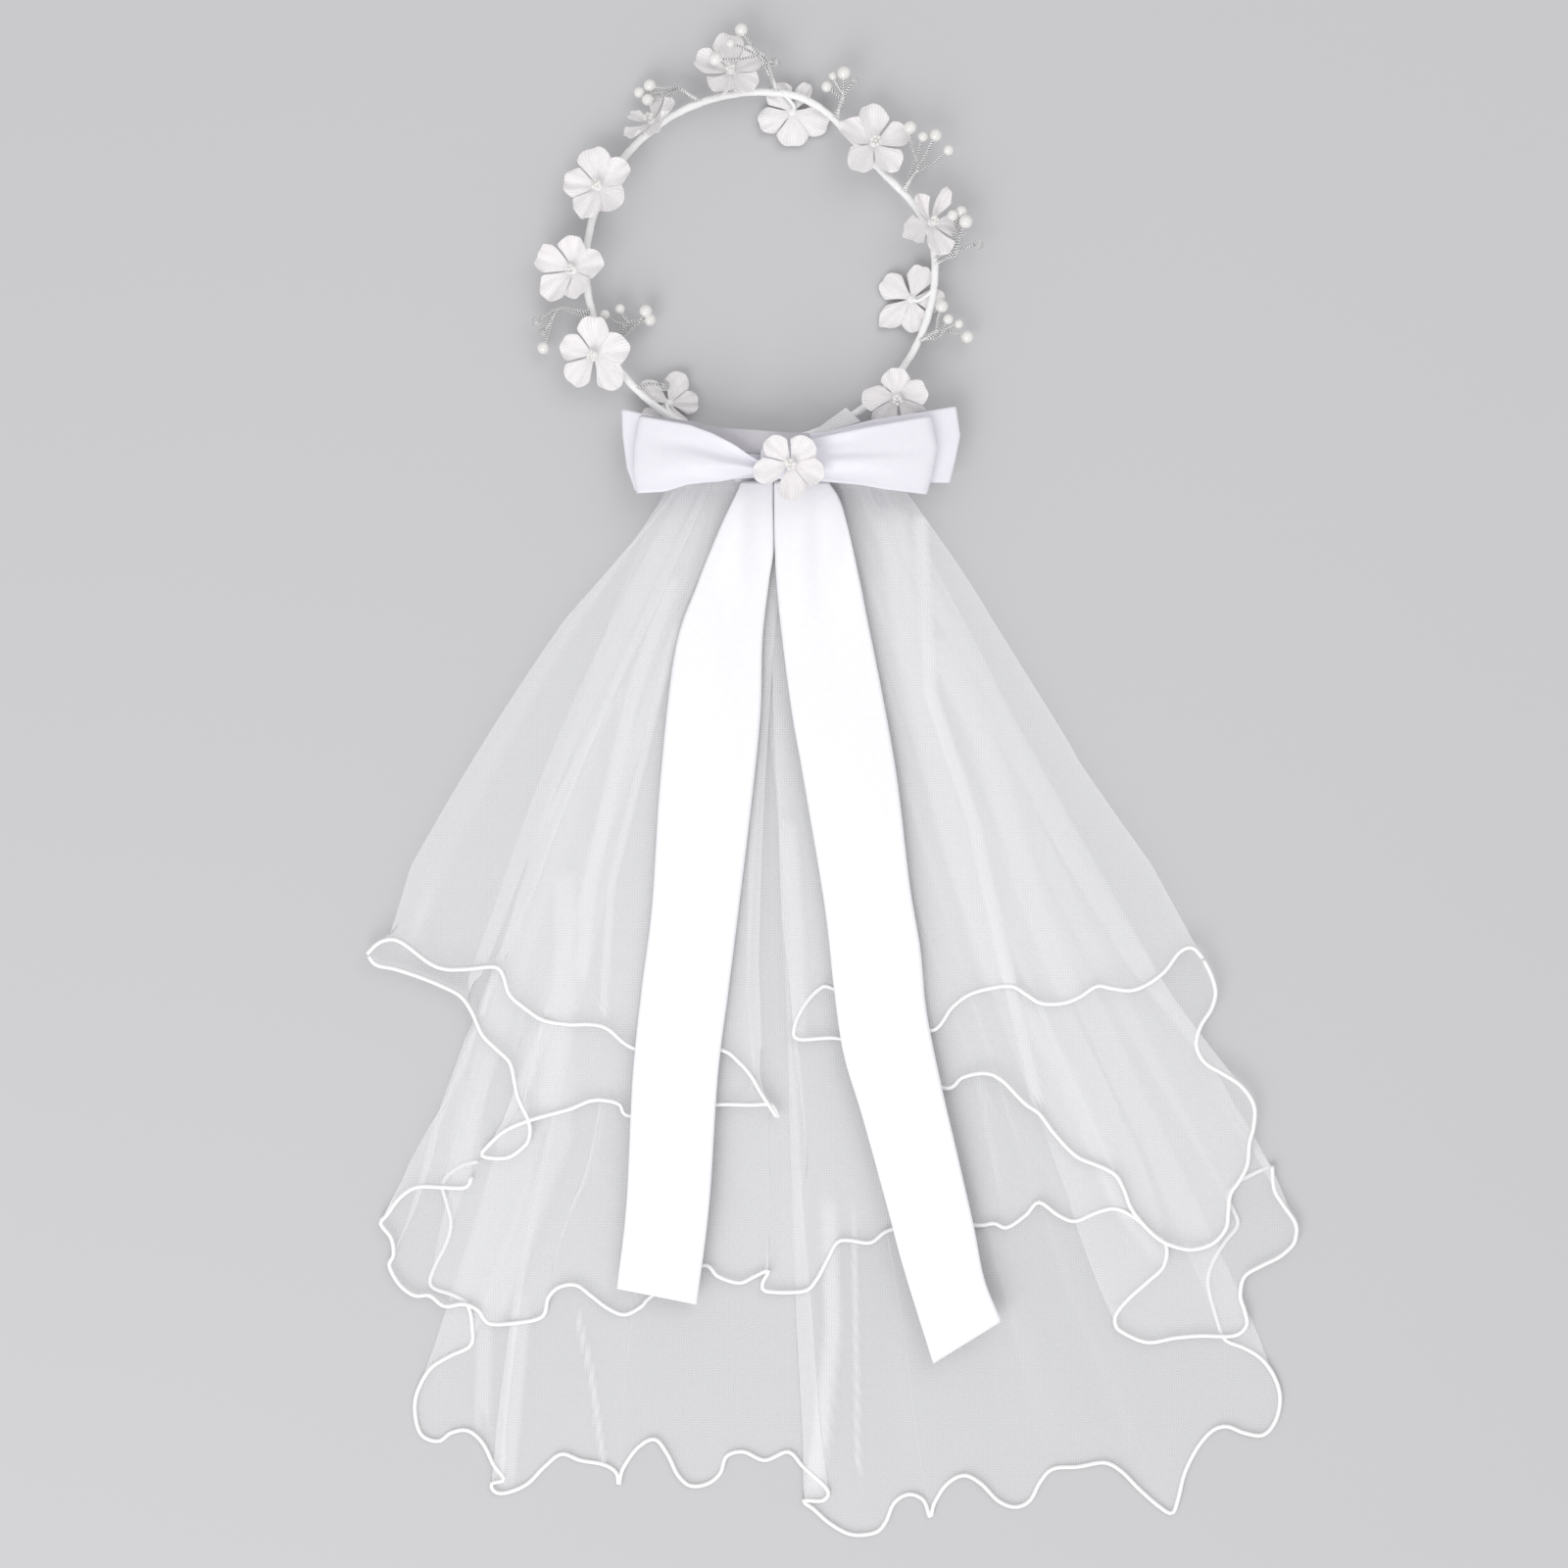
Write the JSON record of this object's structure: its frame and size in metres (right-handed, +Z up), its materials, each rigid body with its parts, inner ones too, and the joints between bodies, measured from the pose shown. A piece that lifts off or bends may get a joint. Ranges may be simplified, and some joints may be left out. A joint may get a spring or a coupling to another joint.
{
  "type": "flower crown with bow and veil",
  "caption": "Wired head ring with fabric blossoms and pearl sprays, a satin bow with tails and a tiered gathered tulle veil.",
  "frame": {"origin": "centre of the head ring on the table that the crown lies on", "axes": "+X to the wearer's right of the bow as seen from above, +Y from the bow across the ring, +Z up through the head opening"},
  "size_m": [0.438, 0.7112, 0.0344],
  "materials": {
    "silver_wire": "fine silver-plated wire, twisted in pairs",
    "white_tape": "glossy white floral tape",
    "petal_fabric": "stiffened ivory-white organza, slightly sheer",
    "stamen_beads": "small pearly beads",
    "pearl": "ivory imitation pearl, soft lustre",
    "tulle": "white nylon tulle net",
    "satin_cord": "white satin cord, sewn down",
    "satin_ribbon": "white single-face satin"
  },
  "bodies": {
    "crown": {"ring_wire": "silver_wire", "ring_tape": "white_tape", "flower_stems": "white_tape", "flower_01_petals": "petal_fabric", "flower_02_petals": "petal_fabric", "flower_03_petals": "petal_fabric", "flower_04_petals": "petal_fabric", "flower_05_petals": "petal_fabric", "flower_06_petals": "petal_fabric", "flower_07_petals": "petal_fabric", "flower_08_petals": "petal_fabric", "flower_09_petals": "petal_fabric", "flower_10_petals": "petal_fabric", "flower_11_petals": "petal_fabric", "flower_01_stamens": "stamen_beads", "flower_02_stamens": "stamen_beads", "flower_03_stamens": "stamen_beads", "flower_04_stamens": "stamen_beads", "flower_05_stamens": "stamen_beads", "flower_06_stamens": "stamen_beads", "flower_07_stamens": "stamen_beads", "flower_08_stamens": "stamen_beads", "flower_09_stamens": "stamen_beads", "flower_10_stamens": "stamen_beads", "flower_11_stamens": "stamen_beads", "spray_1_stems": "silver_wire", "spray_2_stems": "silver_wire", "spray_3_stems": "silver_wire", "spray_4_stems": "silver_wire", "spray_5_stems": "silver_wire", "spray_6_stems": "silver_wire", "spray_7_stems": "silver_wire", "spray_8_stems": "silver_wire", "spray_9_stems": "silver_wire", "spray_1_pearls": "pearl", "spray_2_pearls": "pearl", "spray_3_pearls": "pearl", "spray_4_pearls": "pearl", "spray_5_pearls": "pearl", "spray_6_pearls": "pearl", "spray_7_pearls": "pearl", "spray_8_pearls": "pearl", "spray_9_pearls": "pearl"},
    "bow_and_veil": {"ring_casing": "satin_ribbon", "bow_left_front_loop": "satin_ribbon", "bow_right_front_loop": "satin_ribbon", "bow_left_back_loop": "satin_ribbon", "bow_right_back_loop": "satin_ribbon", "bow_knot": "satin_ribbon", "bow_flower_petals": "petal_fabric", "bow_flower_stamens": "stamen_beads", "veil_heading": "satin_ribbon", "veil_top_tier": "tulle", "veil_middle_tier": "tulle", "veil_bottom_tier": "tulle", "veil_top_hem": "satin_cord", "veil_middle_hem": "satin_cord", "veil_bottom_hem": "satin_cord"},
    "left_tail": {"left_tail": "satin_ribbon"},
    "right_tail": {"right_tail": "satin_ribbon"}
  },
  "joints": [
    {"name": "veil_swing", "type": "hinge", "parent": "crown", "child": "bow_and_veil", "pos_m": [0, -0.0813, 0.009], "axis": [1, 0, 0], "range_deg": [0, 90]},
    {"name": "left_tail_lift", "type": "hinge", "parent": "bow_and_veil", "child": "left_tail", "pos_m": [-0.003, -0.106, 0.009], "axis": [-1, 0, 0], "range_deg": [0, 60]},
    {"name": "right_tail_lift", "type": "hinge", "parent": "bow_and_veil", "child": "right_tail", "pos_m": [0.02, -0.106, 0.0102], "axis": [-1, 0, 0], "range_deg": [0, 60]}
  ]
}
